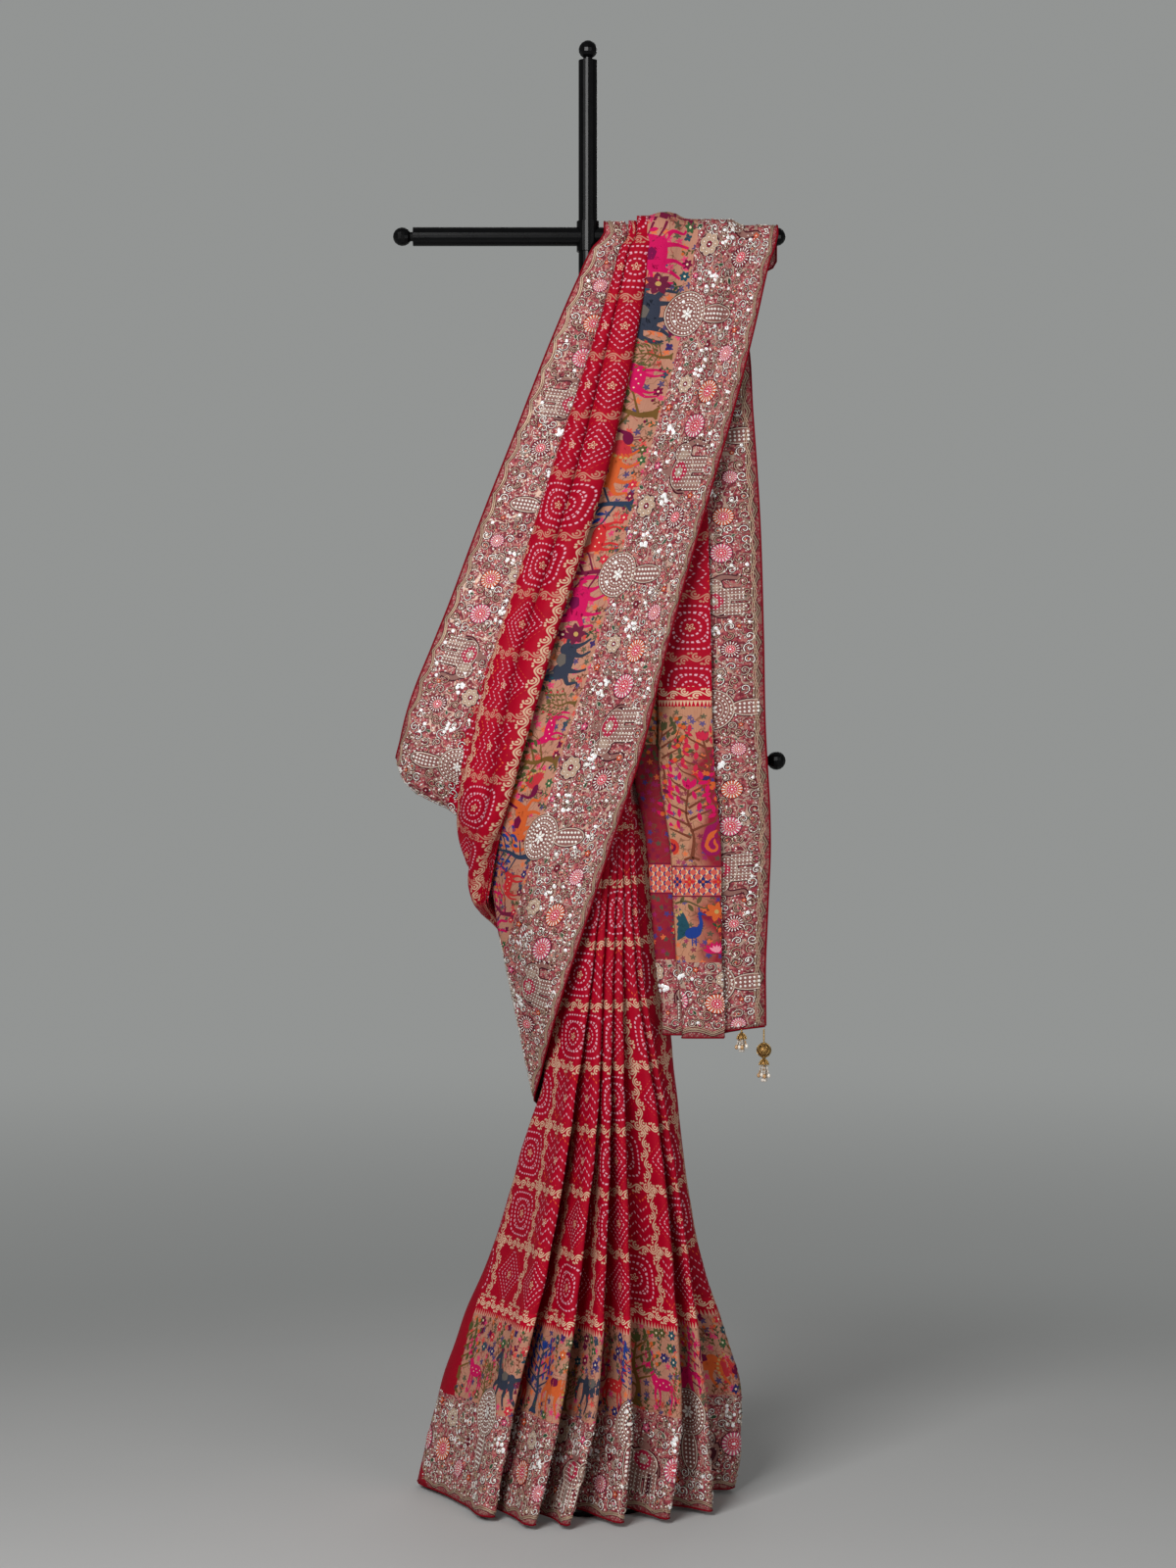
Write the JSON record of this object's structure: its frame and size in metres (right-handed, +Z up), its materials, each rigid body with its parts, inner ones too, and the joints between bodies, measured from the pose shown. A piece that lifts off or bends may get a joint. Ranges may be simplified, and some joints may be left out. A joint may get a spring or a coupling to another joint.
{
  "type": "bandhani saree draped on a display stand",
  "caption": "Crimson tie-dyed saree with woven brocade and embroidered borders, pleated and draped over the cross arms of a black display stand.",
  "frame": {"origin": "centre of the base plate's flat underside, on the post's axis at floor level", "axes": "+Z up along the post, -Y towards the front of the drape, +X along the cross arms to the side where the cloth goes over the upper arm"},
  "size_m": [0.5209, 0.3188, 1.9352],
  "materials": {
    "saree_silk": "tie-dyed silk with woven and embroidered borders",
    "piping_satin": "satin",
    "tassel": "antique gold with pearl and clear beads",
    "stand_black": "gloss black"
  },
  "bodies": {
    "root": {"saree": "saree_silk", "piping_lower": "piping_satin", "piping_upper": "piping_satin", "piping_end": "piping_satin", "tassel_corner": "tassel", "tassel_inner": "tassel", "post": "stand_black", "post_finial": "stand_black", "upper_collar": "stand_black", "upper_arm_left": "stand_black", "upper_arm_right": "stand_black", "upper_finial_left": "stand_black", "upper_finial_right": "stand_black", "lower_collar": "stand_black", "lower_arm_left": "stand_black", "lower_arm_right": "stand_black", "lower_finial_left": "stand_black", "lower_finial_right": "stand_black", "base_socket": "stand_black", "base_plate": "stand_black"}
  },
  "joints": []
}
